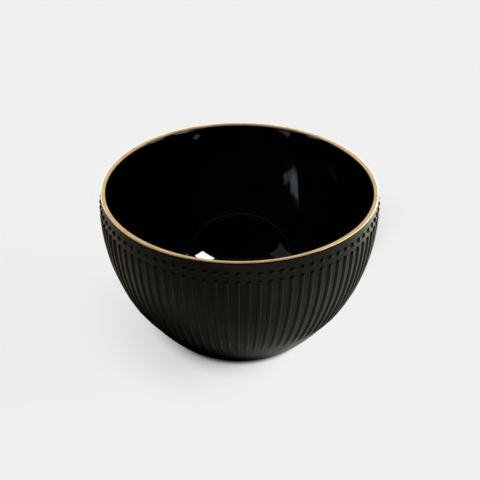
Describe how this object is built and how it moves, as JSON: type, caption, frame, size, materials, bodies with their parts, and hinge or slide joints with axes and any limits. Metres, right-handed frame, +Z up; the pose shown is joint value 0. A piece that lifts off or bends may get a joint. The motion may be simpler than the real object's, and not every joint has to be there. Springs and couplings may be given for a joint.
{
  "type": "footed ceramic bowl",
  "caption": "Round footed stoneware bowl, satin black with slip beads over slip ribs outside, gloss black inside, with a gold band on the lip.",
  "frame": {"origin": "centre of the foot ring's resting face, on the surface the bowl stands on", "axes": "+Z up along the bowl's axis of symmetry; -Y towards the front of the bowl as pictured"},
  "size_m": [0.1506, 0.1506, 0.0915],
  "materials": {
    "satin_glaze": "satin black glaze on the stoneware wall",
    "bare_clay": "matte dark clay, wiped bare of glaze where the foot stands",
    "rib_glaze": "satin black glaze over slip ribs",
    "bead_glaze": "satin black glaze over slip beads",
    "gloss_glaze": "gloss black liner glaze",
    "gold_lustre": "hand-laid gold lustre, satin, a little thin in places"
  },
  "bodies": {
    "root": {"bowl_body": "satin_glaze", "foot_ring": "bare_clay", "rib_row": "rib_glaze", "bead_row": "bead_glaze", "liner_glaze": "gloss_glaze", "rim_band": "gold_lustre"}
  },
  "joints": []
}
